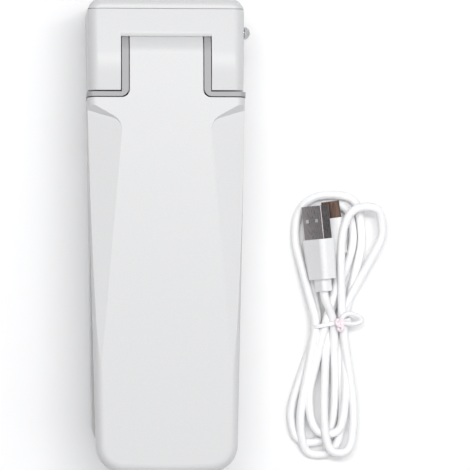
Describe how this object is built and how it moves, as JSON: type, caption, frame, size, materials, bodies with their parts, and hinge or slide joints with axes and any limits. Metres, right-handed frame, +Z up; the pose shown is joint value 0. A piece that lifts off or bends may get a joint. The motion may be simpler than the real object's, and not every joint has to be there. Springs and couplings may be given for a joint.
{
  "type": "handheld bag heat sealer",
  "caption": "Handheld bag heat sealer: a long sprung lever, hinged in a forked head, presses a silicone pad onto a heated ribbon; with its tied charging lead.",
  "frame": {"origin": "on the surface that the sealer lies on, under the middle of the body", "axes": "+X across the body, +Y from the sealing tip to the hinge end, +Z up out of the lever"},
  "size_m": [0.1179, 0.1804, 0.0488],
  "materials": {
    "white_case": "white moulded plastic, satin gloss",
    "grey_frame": "grey moulded plastic, fine satin",
    "zinc_steel": "zinc plated",
    "bright_steel": "ground steel",
    "spring_steel": "drawn spring wire",
    "bronze_bush": "sintered bronze",
    "silicone": "red-brown silicone, matt",
    "phenolic": "dark heat-resistant moulding",
    "nichrome": "flat resistance ribbon",
    "ptfe_tape": "brown coated glass-cloth tape",
    "terminal_brass": "machined brass",
    "cell_wrap": "blue shrink wrap",
    "black_plastic": "black moulding",
    "nickel": "nickel plated sheet",
    "board_green": "green solder mask",
    "chip_black": "black epoxy packages",
    "clear_lens": "water-clear moulded lens",
    "red_wire": "red insulated wire",
    "white_cord": "white soft cord jacket",
    "white_grip": "white soft moulded grip"
  },
  "bodies": {
    "base": {"base_bottom_shell": "white_case", "base_top_shell": "white_case", "head_cover": "white_case", "case_screws": "zinc_steel", "board_screws": "zinc_steel", "terminal_screws": "zinc_steel", "hinge_pin": "bright_steel", "pin_clips": "spring_steel", "return_spring": "spring_steel", "heater_carrier": "phenolic", "heater_ribbon": "nichrome", "heatproof_tape": "ptfe_tape", "ribbon_terminals": "terminal_brass", "battery_cells": "cell_wrap", "cell_cradle": "black_plastic", "cell_tabs": "nickel", "circuit_board": "board_green", "board_components": "chip_black", "usb_socket": "nickel", "travel_switch": "black_plastic", "power_switch": "black_plastic", "indicator_led": "clear_lens", "led_leads": "nickel", "heater_leads": "red_wire", "battery_leads": "red_wire", "cable_hank": "white_cord", "cable_lead_a": "white_cord", "cable_lead_micro": "white_cord", "cable_tie": "white_cord", "usb_a_shell": "nickel", "usb_a_tongue": "black_plastic", "usb_a_grip": "white_grip", "micro_usb_shell": "nickel", "micro_usb_grip": "white_grip"},
    "lever": {"lever_shell": "white_case", "lever_frame": "grey_frame", "hinge_bushes": "bronze_bush", "silicone_pad": "silicone", "pad_backing_bar": "zinc_steel", "lever_screws": "zinc_steel"},
    "plunger": {"switch_plunger": "grey_frame"},
    "knob": {"power_knob": "grey_frame"}
  },
  "joints": [
    {"name": "lever_hinge", "type": "hinge", "parent": "base", "child": "lever", "pos_m": [0, 0.068, 0.03], "axis": [1, 0, 0], "range_deg": [0, 5.5], "stiffness_Nm_per_rad": 0.5, "springref_deg": -14.32, "deforming": ["return_spring"]},
    {"name": "plunger_slide", "type": "slide", "parent": "base", "child": "plunger", "axis": [0, 0, -1], "range_m": [0, 0.00192]},
    {"name": "power_slide", "type": "slide", "parent": "base", "child": "knob", "axis": [1, 0, 0], "range_m": [0, 0.0034]}
  ],
  "couplings": [
    {"joint": "plunger_slide", "follows": "lever_hinge", "m_per_rad": 0.0198}
  ]
}
